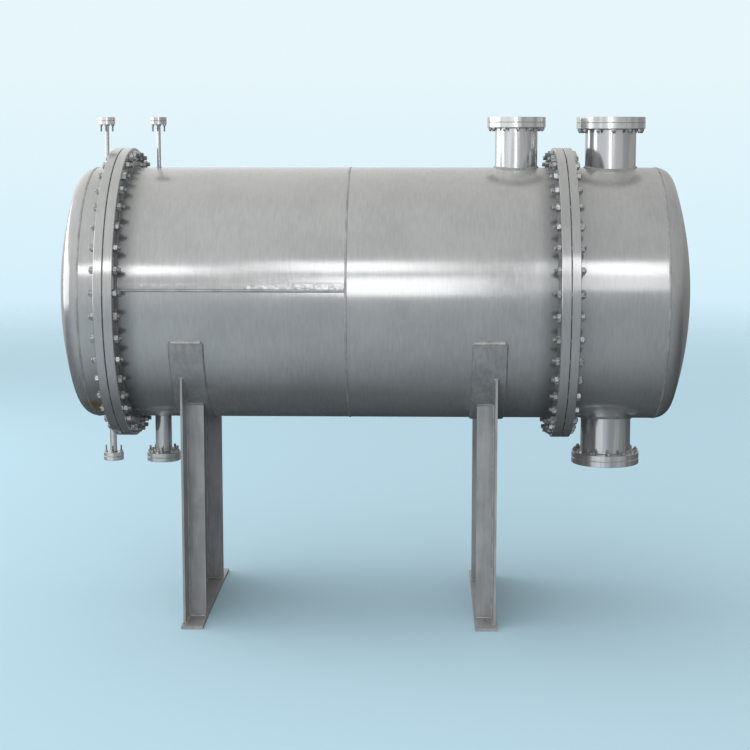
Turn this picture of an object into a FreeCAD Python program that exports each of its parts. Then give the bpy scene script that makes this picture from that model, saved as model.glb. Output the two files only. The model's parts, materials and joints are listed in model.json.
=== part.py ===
# Shell and tube heat exchanger with fixed tubesheets, lying on two saddles.
# X runs along the vessel, with the bonnet at -X and the channel at +X; Z is up.
# The origin is under the middle of the vessel's length, on the underside of the base plates.
import FreeCAD, Part
import math
import os
import Sketcher

V = FreeCAD.Vector

# Driving dimensions: millimetres, degrees and counts, each written once.
SIZES = {
    # vessel
    "shell_od": 1624,
    "shell_wall": 12,
    "axis_height": 2065,
    "tubesheet_span": 2824,
    "tubesheet_thick": 58,
    "seam_offset": 50,
    "bonnet_length": 122,
    "channel_length": 547,
    "head_depth": 216,
    "head_knuckle": 100,
    # bolted body joints: the bolts stand outside the shell, and the rim outside the bolts
    "joint_bolts_out": 83,
    "joint_edge": 43,
    "joint_bolts": 40,
    "joint_hole": 33,
    "joint_flange_thick": 54,
    "joint_gasket_thick": 4,
    "joint_chamfer": 3,
    "gasket_clear": 4,
    # what every nozzle shares: how far it stands out of the shell, and its place from a body joint
    "top_stand": 323,
    "bottom_stand": 305,
    "nozzle_gasket_thick": 3,
    "nozzle_chamfer": 1.5,
    "vent_from_joint": 117,
    "shell_vent_from_joint": 219,
    "inlet_from_joint": 295,
    "channel_nozzle_from_joint": 312,
    # saddles
    "saddle_from_joint": 479,
    "wear_width": 200,
    "wear_thick": 12,
    "wear_wrap": 145,
    "web_inset": 148,
    "web_thick": 14,
    "web_set_out": 52,
    "rib_width": 108,
    "rib_thick": 14,
    "rib_inset": 196,
    "base_overhang": 61,
    "base_width": 137,
    "base_thick": 20,
    "base_lip": 7,
    "anchor_from_end": 187,
    "anchor_hole": 28,
}

# Pipe sizes. The bolt circle lies outside the pipe, and the flange's rim outside the bolt circle.
PIPES = {
    "dn300": dict(pipe_od=325, pipe_wall=9, bolts_out=35, edge=22.5, bolts=12, hole=22, thick=36),
    "dn250": dict(pipe_od=273, pipe_wall=8, bolts_out=31, edge=20, bolts=12, hole=18, thick=32),
    "dn100": dict(pipe_od=108, pipe_wall=5, bolts_out=36, edge=20, bolts=8, hole=18, thick=27),
    "dn40": dict(pipe_od=45, pipe_wall=4, bolts_out=27.5, edge=15, bolts=4, hole=14, thick=25),
    "dn20": dict(pipe_od=25, pipe_wall=3, bolts_out=25, edge=15, bolts=4, hole=14, thick=22),
}

# Where things are, as formulas on the sheet's cells.
SHELL_MID = "(Sizes.bonnet_length - Sizes.channel_length) / 2"
JOINT = "(Sizes.tubesheet_span / 2 + Sizes.joint_gasket_thick / 2)"
SHEET_FACE = "Sizes.tubesheet_span / 2"
BARREL_START = "(Sizes.tubesheet_span / 2 + Sizes.joint_gasket_thick + Sizes.joint_flange_thick)"
SHELL_END = "(Sizes.tubesheet_span / 2 - Sizes.tubesheet_thick)"
JOINT_CIRCLE = "(Sizes.shell_od + 2 * Sizes.joint_bolts_out)"
JOINT_OD = "(Sizes.shell_od + 2 * Sizes.joint_bolts_out + 2 * Sizes.joint_edge)"
WEAR_RADIUS = "(Sizes.shell_od / 2 + Sizes.wear_thick)"
WEB_HALF = f"({WEAR_RADIUS} - Sizes.web_inset)"
BASE_HALF = f"({WEB_HALF} + Sizes.base_overhang)"
AXIS = "Sizes.axis_height"

# Every nozzle: its pipe size, which way it points, and its place along X.
NOZZLES = {
    "bonnet_vent": ("dn20", 1, f"{SHELL_MID} - {JOINT} - Sizes.vent_from_joint"),
    "bonnet_drain": ("dn40", -1, f"{SHELL_MID} - {JOINT} - Sizes.vent_from_joint"),
    "shell_vent": ("dn20", 1, f"{SHELL_MID} - {JOINT} + Sizes.shell_vent_from_joint"),
    "shell_outlet": ("dn100", -1, f"{SHELL_MID} - {JOINT} + Sizes.shell_vent_from_joint"),
    "shell_inlet": ("dn250", 1, f"{SHELL_MID} + {JOINT} - Sizes.inlet_from_joint"),
    "channel_inlet": ("dn300", 1, f"{SHELL_MID} + {JOINT} + Sizes.channel_nozzle_from_joint"),
    "channel_outlet": ("dn300", -1, f"{SHELL_MID} + {JOINT} + Sizes.channel_nozzle_from_joint"),
}

ALONG_X = FreeCAD.Rotation(V(0, 1, 0), 90)
AGAINST_X = FreeCAD.Rotation(V(0, 1, 0), -90)
UPWARD = FreeCAD.Rotation()
DOWNWARD = FreeCAD.Rotation(V(1, 0, 0), 180)

doc = FreeCAD.newDocument("heat_exchanger")
sheet = doc.addObject("Spreadsheet::Sheet", "Sizes")
nodes = []


def fill_sheet():
    """Write every driving dimension to the sheet as a number with an alias."""
    rows = dict(SIZES)
    for pipe, values in PIPES.items():
        rows.update({f"{pipe}_{key}": number for key, number in values.items()})
    for row, (alias, number) in enumerate(rows.items(), start=1):
        sheet.set(f"A{row}", alias)
        sheet.set(f"B{row}", str(number))
        sheet.setAlias(f"B{row}", alias)
    doc.recompute()


def value(formula):
    """The present value of a formula, which a new sketch starts from."""
    return float(sheet.evalExpression(formula))


def place(item, rotation, x="0", y="0", z="0"):
    """Turn an object, and bind its position to formulas."""
    item.Placement = FreeCAD.Placement(V(), rotation)
    for letter, formula in zip("xyz", (x, y, z)):
        item.setExpression(f"Placement.Base.{letter}", formula)


def cylinder(name, radius, height, rotation, x, z=AXIS):
    item = doc.addObject("Part::Cylinder", name)
    item.setExpression("Radius", radius)
    item.setExpression("Height", height)
    place(item, rotation, x, "0", z)
    return item


def cut(name, base, tools):
    """The node that is left of base when all the tools are taken away."""
    tool = tools[0]
    if len(tools) > 1:
        tool = doc.addObject("Part::MultiFuse", f"{name}_hollow")
        tool.Shapes = tools
    item = doc.addObject("Part::Cut", name)
    item.Base = base
    item.Tool = tool
    return item


def sketch_on(body, role, name):
    """A sketch on one of the body's own origin planes."""
    plane = next(item for item in body.Origin.OriginFeatures if item.Role == role)
    sketch = body.newObject("Sketcher::SketchObject", f"{body.Name}_{name}")
    sketch.AttachmentSupport = [(plane, "")]
    sketch.MapMode = "FlatFace"
    return sketch


def bound(sketch, formula, kind, *places):
    """A dimension of a sketch, bound to a formula."""
    number = sketch.addConstraint(Sketcher.Constraint(kind, *places, value(formula)))
    sketch.setExpression(f"Constraints[{number}]", formula)


def centred_circle(sketch, diameter):
    number = sketch.addGeometry(Part.Circle(V(), V(0, 0, 1), value(diameter) / 2))
    sketch.addConstraint(Sketcher.Constraint("Coincident", number, 3, -1, 1))
    bound(sketch, diameter, "Diameter", number)


def placed_circle(sketch, diameter, x=None, y=None):
    """A circle with its centre bound to formulas, or on the sketch's own axis where there is none."""
    centre = V(value(x) if x else 0, value(y) if y else 0, 0)
    number = sketch.addGeometry(Part.Circle(centre, V(0, 0, 1), value(diameter) / 2))
    bound(sketch, diameter, "Diameter", number)
    for formula, kind, axis in ((x, "DistanceX", -2), (y, "DistanceY", -1)):
        if formula:
            bound(sketch, formula, kind, -1, 1, number, 3)
        else:
            sketch.addConstraint(Sketcher.Constraint("PointOnObject", number, 3, axis))


def pad(body, sketch, length):
    item = body.newObject("PartDesign::Pad", f"{body.Name}_pad")
    item.Profile = sketch
    item.setExpression("Length", length)
    sketch.Visibility = False
    doc.recompute()
    return item


def through_pocket(body, sketch):
    """Cut a sketch right through the body, and make sure that it did cut."""
    before = body.Shape.Volume
    item = body.newObject("PartDesign::Pocket", f"{body.Name}_holes")
    item.Profile = sketch
    item.Type = "ThroughAll"
    item.Reversed = True
    doc.recompute()
    if body.Shape.Volume >= before:
        raise RuntimeError(f"the holes of {body.Name} cut nothing")
    return item


def chamfer_rim(body, feature, diameter, size):
    """Chamfer both outer edges of a disc."""
    radius = value(diameter) / 2
    rim = [f"Edge{number}" for number, edge in enumerate(feature.Shape.Edges, start=1)
           if isinstance(edge.Curve, Part.Circle) and abs(edge.Curve.Radius - radius) < 1e-6]
    item = body.newObject("PartDesign::Chamfer", f"{body.Name}_chamfer")
    item.Base = (feature, rim)
    item.setExpression("Size", size)
    doc.recompute()


def bolted_disc(name, rotation, x, z, od, thick, bolting, chamfer=None, bore=None):
    """A flange, tubesheet, cover or gasket: a disc with a ring of bolt holes.

    Its back face is at the given place and it grows outwards from there. The bolting is the bolt
    circle, the number of holes, their size, and whether they stand astride the centre lines.
    """
    circle, count, hole, astride = bolting
    body = doc.addObject("PartDesign::Body", name)
    outline = sketch_on(body, "XY_Plane", "outline")
    centred_circle(outline, od)
    if bore:
        centred_circle(outline, bore)
    disc = pad(body, outline, thick)
    if chamfer:
        chamfer_rim(body, disc, od, chamfer)
    first = sketch_on(body, "XY_Plane", "first_hole")
    if astride:
        placed_circle(first, hole, f"{circle} / 2 * cos(180deg / {count})",
                      f"{circle} / 2 * sin(180deg / {count})")
    else:
        placed_circle(first, hole, f"{circle} / 2")
    pocket = through_pocket(body, first)
    ring = body.newObject("PartDesign::PolarPattern", f"{name}_bolt_circle")
    ring.Originals = [pocket]
    ring.Axis = (first, ["N_Axis"])
    ring.Angle = 360
    ring.setExpression("Occurrences", count)
    body.Tip = ring
    place(body, rotation, x, "0", z)
    return body


def nozzle_bore_cutter(name, owner):
    """The hole that a nozzle's pipe opens in the vessel wall."""
    pipe, sense, x = NOZZLES[name]
    rotation = UPWARD if sense > 0 else DOWNWARD
    radius = f"Sizes.{pipe}_pipe_od / 2 - Sizes.{pipe}_pipe_wall"
    return cylinder(f"{owner}_{name}_bore", radius, "Sizes.shell_od", rotation, x)


def make_barrel(name, start, length, nozzles):
    """A rolled cylinder of the vessel wall, with the openings of its nozzles."""
    outside = cylinder(f"{name}_outside", "Sizes.shell_od / 2", length, ALONG_X, start)
    inside = cylinder(f"{name}_inside", "Sizes.shell_od / 2 - Sizes.shell_wall", length, ALONG_X, start)
    bores = [nozzle_bore_cutter(nozzle, name) for nozzle in nozzles]
    nodes.append(cut(name, outside, [inside] + bores))


def make_head(name, rotation, x):
    """A dished end: a shallow crown that a knuckle joins to the barrel."""
    radius, depth, knuckle = "Sizes.shell_od / 2", "Sizes.head_depth", "Sizes.head_knuckle"
    rim, rise, bend, wall = value(radius), value(depth), value(knuckle), value("Sizes.shell_wall")
    reach = rim - bend
    crown = (rise ** 2 + reach ** 2 - bend ** 2) / (2 * (rise - bend))
    middle = V(0, rise - crown, 0)
    corner = V(reach, 0, 0)
    turn = math.atan2(crown - rise, reach)

    def arc(centre, size, start, end):
        circle = Part.Circle(centre, V(0, 0, 1), size)
        return sketch.addGeometry(Part.ArcOfCircle(circle, start, end))

    def line(start, end):
        return sketch.addGeometry(Part.LineSegment(start, end))

    def tie(kind, *places):
        sketch.addConstraint(Sketcher.Constraint(kind, *places))

    body = doc.addObject("PartDesign::Body", name)
    sketch = sketch_on(body, "XY_Plane", "profile")
    outer_bend = arc(corner, bend, 0, turn)
    outer_crown = arc(middle, crown, turn, math.pi / 2)
    inner_bend = arc(corner, bend - wall, 0, turn)
    inner_crown = arc(middle, crown - wall, turn, math.pi / 2)
    foot = line(V(rim, 0, 0), V(rim - wall, 0, 0))
    top = line(V(0, rise, 0), V(0, rise - wall, 0))
    tie("PointOnObject", outer_bend, 3, -1)
    tie("PointOnObject", outer_bend, 1, -1)
    tie("PointOnObject", outer_crown, 3, -2)
    tie("PointOnObject", outer_crown, 2, -2)
    tie("Tangent", outer_bend, 2, outer_crown, 1)
    tie("Coincident", inner_bend, 3, outer_bend, 3)
    tie("Coincident", inner_crown, 3, outer_crown, 3)
    tie("PointOnObject", inner_bend, 1, -1)
    tie("PointOnObject", inner_crown, 2, -2)
    tie("Tangent", inner_bend, 2, inner_crown, 1)
    tie("Coincident", foot, 1, outer_bend, 1)
    tie("Coincident", foot, 2, inner_bend, 1)
    tie("Coincident", top, 1, outer_crown, 2)
    tie("Coincident", top, 2, inner_crown, 2)
    bound(sketch, radius, "DistanceX", -1, 1, outer_bend, 1)
    bound(sketch, depth, "DistanceY", -1, 1, outer_crown, 2)
    bound(sketch, knuckle, "Radius", outer_bend)
    bound(sketch, "Sizes.shell_wall", "DistanceX", inner_bend, 1, outer_bend, 1)
    dish = body.newObject("PartDesign::Revolution", f"{name}_dish")
    dish.Profile = sketch
    dish.ReferenceAxis = (sketch, ["V_Axis"])
    dish.Angle = 360
    # The sketch's own Y is the head's axis, so it is first laid along Z.
    place(body, rotation.multiply(FreeCAD.Rotation(V(1, 0, 0), 90)), x, "0", AXIS)
    nodes.append(body)


def make_body_joint(side, outward, sense):
    """One end of the shell: tubesheet, gasket and the flange of what is bolted there."""
    cover = {"left": "bonnet", "right": "channel"}[side]
    sign = "+" if sense > 0 else "-"
    bolting = (JOINT_CIRCLE, "Sizes.joint_bolts", "Sizes.joint_hole", True)
    thick = "Sizes.joint_gasket_thick"
    bore = "(Sizes.shell_od - 2 * Sizes.shell_wall)"
    outer = f"({JOINT_CIRCLE} - Sizes.joint_hole - 2 * Sizes.gasket_clear)"
    gasket_x = f"{SHELL_MID} {sign} {SHEET_FACE}"
    flange_x = f"{SHELL_MID} {sign} ({SHEET_FACE} + {thick})"
    nodes.append(bolted_disc(f"tubesheet_{side}", outward, f"{SHELL_MID} {sign} {SHELL_END}", AXIS, JOINT_OD,
                             "Sizes.tubesheet_thick", bolting, "Sizes.joint_chamfer"))
    around = cylinder(f"gasket_{side}_outer", f"{outer} / 2", thick, outward, gasket_x)
    inside = cylinder(f"gasket_{side}_inner", f"{bore} / 2", thick, outward, gasket_x)
    nodes.append(cut(f"gasket_{side}", around, [inside]))
    nodes.append(bolted_disc(f"{cover}_flange", outward, flange_x, AXIS, JOINT_OD,
                             "Sizes.joint_flange_thick", bolting, "Sizes.joint_chamfer", bore))


def make_nozzle(name):
    """Neck, flange, gasket and blind cover of one nozzle; returns the gasket."""
    pipe, sense, x = NOZZLES[name]
    rotation = UPWARD if sense > 0 else DOWNWARD
    stand = "Sizes.top_stand" if sense > 0 else "Sizes.bottom_stand"
    sign = "+" if sense > 0 else "-"
    reach = f"Sizes.shell_od / 2 + {stand}"
    thick = f"Sizes.{pipe}_thick"
    gasket = "Sizes.nozzle_gasket_thick"
    bore = f"(Sizes.{pipe}_pipe_od - 2 * Sizes.{pipe}_pipe_wall)"
    circle = f"(Sizes.{pipe}_pipe_od + 2 * Sizes.{pipe}_bolts_out)"
    rim = f"({circle} + 2 * Sizes.{pipe}_edge)"
    bolting = (circle, f"Sizes.{pipe}_bolts", f"Sizes.{pipe}_hole", False)
    flange_back = f"({reach} - 2 * {thick} - {gasket})"
    gasket_back = f"({reach} - {thick} - {gasket})"
    cover_back = f"({reach} - {thick})"
    stub = cylinder(f"{name}_stub", f"Sizes.{pipe}_pipe_od / 2", flange_back, rotation, x)
    hollow = cylinder(f"{name}_hollow", f"{bore} / 2", flange_back, rotation, x)
    vessel = cylinder(f"{name}_seat", "Sizes.shell_od / 2", f"2 * Sizes.{pipe}_pipe_od", ALONG_X,
                      f"{x} - Sizes.{pipe}_pipe_od")
    nodes.append(cut(f"{name}_neck", stub, [hollow, vessel]))
    nodes.append(bolted_disc(f"{name}_flange", rotation, x, f"{AXIS} {sign} {flange_back}", rim, thick,
                             bolting, "Sizes.nozzle_chamfer", bore))
    nodes.append(bolted_disc(f"{name}_cover", rotation, x, f"{AXIS} {sign} {cover_back}", rim, thick,
                             bolting, "Sizes.nozzle_chamfer"))
    return bolted_disc(f"{name}_gasket", rotation, x, f"{AXIS} {sign} {gasket_back}",
                       f"({rim} - 2 * Sizes.nozzle_chamfer)", gasket, bolting, bore=bore)


def make_wear_plate(name, x):
    """A rolled plate between the shell and its saddle."""
    inner, outer = "Sizes.shell_od / 2", WEAR_RADIUS
    half = math.radians(value("Sizes.wear_wrap") / 2)
    start, end = 1.5 * math.pi - half, 1.5 * math.pi + half
    body = doc.addObject("PartDesign::Body", name)
    sketch = sketch_on(body, "YZ_Plane", "profile")
    arcs = []
    for formula in (inner, outer):
        circle = Part.Circle(V(), V(0, 0, 1), value(formula))
        number = sketch.addGeometry(Part.ArcOfCircle(circle, start, end))
        sketch.addConstraint(Sketcher.Constraint("Coincident", number, 3, -1, 1))
        bound(sketch, formula, "Radius", number)
        arcs.append(number)
    for end_point in (1, 2):
        ends = [sketch.getPoint(number, end_point) for number in arcs]
        edge = sketch.addGeometry(Part.LineSegment(*ends))
        sketch.addConstraint(Sketcher.Constraint("Coincident", edge, 1, arcs[0], end_point))
        sketch.addConstraint(Sketcher.Constraint("Coincident", edge, 2, arcs[1], end_point))
        sketch.addConstraint(Sketcher.Constraint("PointOnObject", -1, 1, edge))
    sketch.addConstraint(Sketcher.Constraint("Symmetric", arcs[1], 1, arcs[1], 2, -2))
    bound(sketch, f"2 * {outer} * sin(Sizes.wear_wrap / 2 * 1deg)", "DistanceX", arcs[1], 1, arcs[1], 2)
    pad(body, sketch, "Sizes.wear_width")
    place(body, UPWARD, f"{x} - Sizes.wear_width / 2", "0", AXIS)
    nodes.append(body)


def make_web(name, x):
    """The upright plate of a saddle, across the vessel and hollowed to the wear plate."""
    half, low, radius = WEB_HALF, "Sizes.axis_height - Sizes.base_thick", WEAR_RADIUS
    side, foot, reach = value(half), -value(low), value(radius)
    shoulder = -math.sqrt(reach ** 2 - side ** 2)
    turn = math.atan2(shoulder, side)
    corners = [V(-side, foot, 0), V(side, foot, 0), V(side, shoulder, 0), V(-side, shoulder, 0)]
    body = doc.addObject("PartDesign::Body", name)
    sketch = sketch_on(body, "YZ_Plane", "outline")
    bottom = sketch.addGeometry(Part.LineSegment(corners[0], corners[1]))
    right = sketch.addGeometry(Part.LineSegment(corners[1], corners[2]))
    left = sketch.addGeometry(Part.LineSegment(corners[3], corners[0]))
    circle = Part.Circle(V(), V(0, 0, 1), reach)
    seat = sketch.addGeometry(Part.ArcOfCircle(circle, math.pi - turn, 2 * math.pi + turn))
    for ends in ((bottom, 2, right, 1), (right, 2, seat, 2), (left, 1, seat, 1), (left, 2, bottom, 1),
                 (seat, 3, -1, 1)):
        sketch.addConstraint(Sketcher.Constraint("Coincident", *ends))
    sketch.addConstraint(Sketcher.Constraint("Horizontal", bottom))
    sketch.addConstraint(Sketcher.Constraint("Vertical", right))
    sketch.addConstraint(Sketcher.Constraint("Vertical", left))
    bound(sketch, radius, "Radius", seat)
    bound(sketch, half, "DistanceX", -1, 1, bottom, 2)
    bound(sketch, half, "DistanceX", bottom, 1, -1, 1)
    bound(sketch, low, "DistanceY", bottom, 1, -1, 1)
    pad(body, sketch, "Sizes.web_thick")
    place(body, UPWARD, x, "0", AXIS)
    nodes.append(body)


def make_rib(name, x, y):
    """A stiffening plate along the vessel, from the base plate up to the wear plate."""
    plate = doc.addObject("Part::Box", f"{name}_plate")
    plate.setExpression("Length", "Sizes.rib_width")
    plate.setExpression("Width", "Sizes.rib_thick")
    plate.setExpression("Height", "Sizes.axis_height - Sizes.base_thick")
    place(plate, UPWARD, x, y, "Sizes.base_thick")
    seat = cylinder(f"{name}_seat", WEAR_RADIUS, "2 * Sizes.rib_width", ALONG_X,
                    f"{x} - Sizes.rib_width / 2")
    nodes.append(cut(name, plate, [seat]))


def make_base_plate(name, x):
    """The foot of a saddle, with a hole for an anchor bolt near each end."""
    body = doc.addObject("PartDesign::Body", name)
    outline = sketch_on(body, "XY_Plane", "outline")
    wide, long = "Sizes.base_width / 2", BASE_HALF
    right, back = value(wide), value(long)
    corners = [V(-right, -back, 0), V(right, -back, 0), V(right, back, 0), V(-right, back, 0)]
    sides = [outline.addGeometry(Part.LineSegment(corners[number], corners[(number + 1) % 4]))
             for number in range(4)]
    for number in range(4):
        joint = (sides[number], 2, sides[(number + 1) % 4], 1)
        outline.addConstraint(Sketcher.Constraint("Coincident", *joint))
        kind = "Vertical" if number % 2 else "Horizontal"
        outline.addConstraint(Sketcher.Constraint(kind, sides[number]))
    bound(outline, wide, "DistanceX", sides[0], 1, -1, 1)
    bound(outline, wide, "DistanceX", -1, 1, sides[0], 2)
    bound(outline, long, "DistanceY", sides[0], 1, -1, 1)
    bound(outline, long, "DistanceY", -1, 1, sides[2], 1)
    pad(body, outline, "Sizes.base_thick")
    holes = sketch_on(body, "XY_Plane", "anchor_holes")
    for sign in ("", "-"):
        placed_circle(holes, "Sizes.anchor_hole", y=f"{sign}({BASE_HALF} - Sizes.anchor_from_end)")
    through_pocket(body, holes)
    place(body, UPWARD, x)
    nodes.append(body)


def make_saddle(side, sense):
    """Wear plate, web, two ribs and base plate; the web stands on the outer side."""
    sign = "+" if sense > 0 else "-"
    centre = f"{SHELL_MID} {sign} ({JOINT} - Sizes.saddle_from_joint)"
    inner_face = f"({centre} {sign} (Sizes.web_set_out - Sizes.web_thick))"
    make_wear_plate(f"wear_plate_{side}", centre)
    # A web grows towards +X, so the left one starts from its outer face.
    web_start = inner_face if sense > 0 else f"{inner_face} - Sizes.web_thick"
    make_web(f"saddle_web_{side}", web_start)
    rib_start = f"{inner_face} - Sizes.rib_width" if sense > 0 else inner_face
    rib_middle = f"({WEB_HALF} - Sizes.rib_inset)"
    make_rib(f"saddle_rib_front_{side}", rib_start, f"-{rib_middle} - Sizes.rib_thick / 2")
    make_rib(f"saddle_rib_back_{side}", rib_start, f"{rib_middle} - Sizes.rib_thick / 2")
    lip = "(Sizes.web_set_out + Sizes.base_lip - Sizes.base_width / 2)"
    make_base_plate(f"base_plate_{side}", f"{centre} {sign} {lip}")


def check_and_write():
    """Stop on anything that failed, then write one file for each node."""
    doc.recompute()
    failed = [item.Name for item in doc.Objects if {"Invalid", "Error"} & set(item.State)]
    failed += [item.Name for item in nodes if item.Shape.isNull() or not item.Shape.isValid()]
    if failed:
        raise RuntimeError(f"these objects failed: {failed}")
    os.makedirs("parts", exist_ok=True)
    for item in nodes:
        item.Shape.exportStep(f"parts/{item.Label}.step")
        print(f"{item.Label}: {len(item.Shape.Solids)} solid, {item.Shape.Volume / 1e6:.2f} litres")


fill_sheet()
seam = f"({SHELL_MID} + Sizes.seam_offset)"
make_barrel("shell_course_left", f"{SHELL_MID} - {SHELL_END}", f"{SHELL_END} + Sizes.seam_offset",
            ["shell_vent", "shell_outlet"])
make_barrel("shell_course_right", seam, f"{SHELL_END} - Sizes.seam_offset", ["shell_inlet"])
make_barrel("bonnet_barrel", f"{SHELL_MID} - {BARREL_START} - Sizes.bonnet_length",
            "Sizes.bonnet_length", ["bonnet_vent", "bonnet_drain"])
make_barrel("channel_barrel", f"{SHELL_MID} + {BARREL_START}", "Sizes.channel_length",
            ["channel_inlet", "channel_outlet"])
make_head("bonnet_head", AGAINST_X, f"{SHELL_MID} - {BARREL_START} - Sizes.bonnet_length")
make_head("channel_head", ALONG_X, f"{SHELL_MID} + {BARREL_START} + Sizes.channel_length")
make_body_joint("left", AGAINST_X, -1)
make_body_joint("right", ALONG_X, 1)
gaskets = doc.addObject("Part::Compound", "nozzle_gaskets")
gaskets.Links = [make_nozzle(name) for name in NOZZLES]
nodes.append(gaskets)
make_saddle("left", -1)
make_saddle("right", 1)
check_and_write()
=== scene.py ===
import json
import math
import random

import bmesh
import bpy
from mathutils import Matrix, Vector


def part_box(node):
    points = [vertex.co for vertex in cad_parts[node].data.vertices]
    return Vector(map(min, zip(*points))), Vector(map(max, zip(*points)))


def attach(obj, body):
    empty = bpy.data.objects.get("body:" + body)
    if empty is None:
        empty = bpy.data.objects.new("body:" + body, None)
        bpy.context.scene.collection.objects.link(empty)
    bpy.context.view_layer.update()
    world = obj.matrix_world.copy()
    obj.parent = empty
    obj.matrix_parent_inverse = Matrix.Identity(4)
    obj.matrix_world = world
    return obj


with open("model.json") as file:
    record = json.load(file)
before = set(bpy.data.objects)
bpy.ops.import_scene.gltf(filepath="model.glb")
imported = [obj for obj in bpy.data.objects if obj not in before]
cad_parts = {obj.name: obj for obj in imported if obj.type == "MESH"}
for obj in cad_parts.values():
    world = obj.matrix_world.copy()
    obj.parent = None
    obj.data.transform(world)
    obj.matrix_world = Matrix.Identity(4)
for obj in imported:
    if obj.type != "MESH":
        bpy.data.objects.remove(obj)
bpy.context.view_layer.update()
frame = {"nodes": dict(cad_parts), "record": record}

nodes = frame["nodes"]
print("frame loaded:", len(nodes), "pieces of plate, pipe and flange")

courseLow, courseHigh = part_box("shell_course_left")
shellRadius = (courseHigh.z - courseLow.z) / 2
axisZ = (courseHigh.z + courseLow.z) / 2
girthX = courseHigh.x
mm = 0.001


cameraSet = {
    "place": (0.309, -11.230, 3.073),
    "aim": (-0.02766, 0.99020, -0.13693),
    "lens": 82.66,
    "sensor": 36,
    "farthest": 300,
}


def addCamera(settings):
    data = bpy.data.cameras.new("camera")
    data.lens = settings["lens"]
    data.sensor_width = settings["sensor"]
    data.clip_end = settings["farthest"]
    camera = bpy.data.objects.new("camera", data)
    camera.location = settings["place"]
    camera.rotation_euler = Vector(settings["aim"]).to_track_quat("-Z", "Y").to_euler()
    bpy.context.scene.collection.objects.link(camera)
    bpy.context.scene.camera = camera


addCamera(cameraSet)


class Wire:  # one socket; arithmetic on it adds Math nodes
    def __init__(self, finish, socket):
        self.finish = finish
        self.socket = socket

    def maths(self, operation, *values):
        return self.finish.node("Math", {"operation": operation}, dict(enumerate(values)))

    def __add__(self, other):
        return self.maths("ADD", self, other)

    __radd__ = __add__

    def __sub__(self, other):
        return self.maths("SUBTRACT", self, other)

    def __rsub__(self, other):
        return self.maths("SUBTRACT", other, self)

    def __mul__(self, other):
        return self.maths("MULTIPLY", self, other)

    __rmul__ = __mul__

    def __abs__(self):
        return self.maths("ABSOLUTE", self)


class Finish:  # the nodes of one material, or of the sky
    def __init__(self, owner):
        self.owner = owner
        owner.use_nodes = True
        self.tree = owner.node_tree
        self.tree.nodes.clear()

    def node(self, kind, settings=None, sockets=None, output=0):
        made = self.tree.nodes.new("ShaderNode" + kind)
        for key, value in (settings or {}).items():
            if key == "stops":
                ramp = made.color_ramp.elements
                while len(ramp) < len(value):
                    ramp.new(0.5)
                for element, (place, colour) in zip(ramp, value):
                    element.position = place
                    element.color = (*colour, 1)
            else:
                setattr(made, key, value)
        for key, value in (sockets or {}).items():
            if isinstance(value, Wire):
                self.tree.links.new(value.socket, made.inputs[key])
            else:
                made.inputs[key].default_value = value
        return None if output is None else Wire(self, made.outputs[output])

    def here(self, scale=(1, 1, 1)):  # the point on the object, stretched
        point = self.node("TexCoord", output=3)
        return self.node("Mapping", None, {"Vector": point, "Scale": scale})

    def part(self, vector, axis):
        return self.node("SeparateXYZ", None, {0: vector}, output="xyz".index(axis))

    def facing(self):  # which way the surface looks
        return self.node("NewGeometry", output=1)

    def distance(self, place, scale=(1, 1, 1)):  # metres from a place
        sockets = {0: self.here(scale), 1: place}
        return self.node("VectorMath", {"operation": "DISTANCE"}, sockets, output=1)

    def noise(self, scale, detail=3.0, roughness=0.5, stretch=(1, 1, 1)):
        return self.node("TexNoise", None, {"Vector": self.here(stretch), "Scale": scale, "Detail": detail,
                                            "Roughness": roughness})

    def ramp(self, value, low, high):  # 0 below low, 1 above high, smooth between
        return self.node("MapRange", {"interpolation_type": "SMOOTHSTEP"},
                         {"Value": value, "From Min": low, "From Max": high})

    def mix(self, factor, first, second):
        sockets = {0: factor, 6: first, 7: second}
        return self.node("Mix", {"data_type": "RGBA"}, sockets, output=2)

    def bump(self, height, lie=None):  # height in metres
        sockets = {"Strength": 1.0, "Distance": 1.0, "Height": height}
        if lie is not None:
            sockets["Normal"] = lie
        return self.node("Bump", None, sockets)

    def paint(self, sockets):
        shader = self.node("BsdfPrincipled", None, sockets)
        return self.cover(shader)

    def cover(self, shader, kind="OutputMaterial"):
        self.node(kind, None, {"Surface": shader}, output=None)
        return self.owner


def newFinish(name):
    return Finish(bpy.data.materials.new(name))


def rgb(red, green, blue):
    return (red, green, blue, 1)


vesselPaint = {
    "light": rgb(0.450, 0.460, 0.462),
    "dark": rgb(0.380, 0.392, 0.398),
    "tone": (0.36, 0.64),         # noise that turns dark to light
    "marks": {"scale": 1.0, "detail": 4, "roughness": 0.6, "stretch": (75, 11, 11)},    # of brush and roller
    "marksShare": 0.45,
    "cloud": {"scale": 2.2, "detail": 3, "roughness": 0.55},
    "cloudShare": 0.55,
    "metallic": 0.55,
    "roughness": 0.165,
    "marksRough": 0.08,
    "cloudRough": 0.10,
    "coat": 0.2,
    "coatRoughness": 0.08,
    "waves": 0.0012,              # heights in metres
    "waveNoise": {"scale": 3.5, "detail": 1, "roughness": 0.4},
    "marksDeep": 0.00022,
    "grain": 0.00010,
    "grainNoise": {"scale": 170, "detail": 2},
    # dust colour, partly a painted warm reflection on upward faces
    "dustAndSheen": rgb(0.43, 0.41, 0.355),
    "dustAndSheenFrom": 0.55,             # how far a surface faces up before dust and a painted warm reflection lie on it
    "dustAndSheenNoise": {"scale": 9, "detail": 4, "roughness": 0.6},
    "dustAndSheenOnTop": 0.45,
    "dustRough": 0.3,
    "dustDull": 1.2,
}
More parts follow.
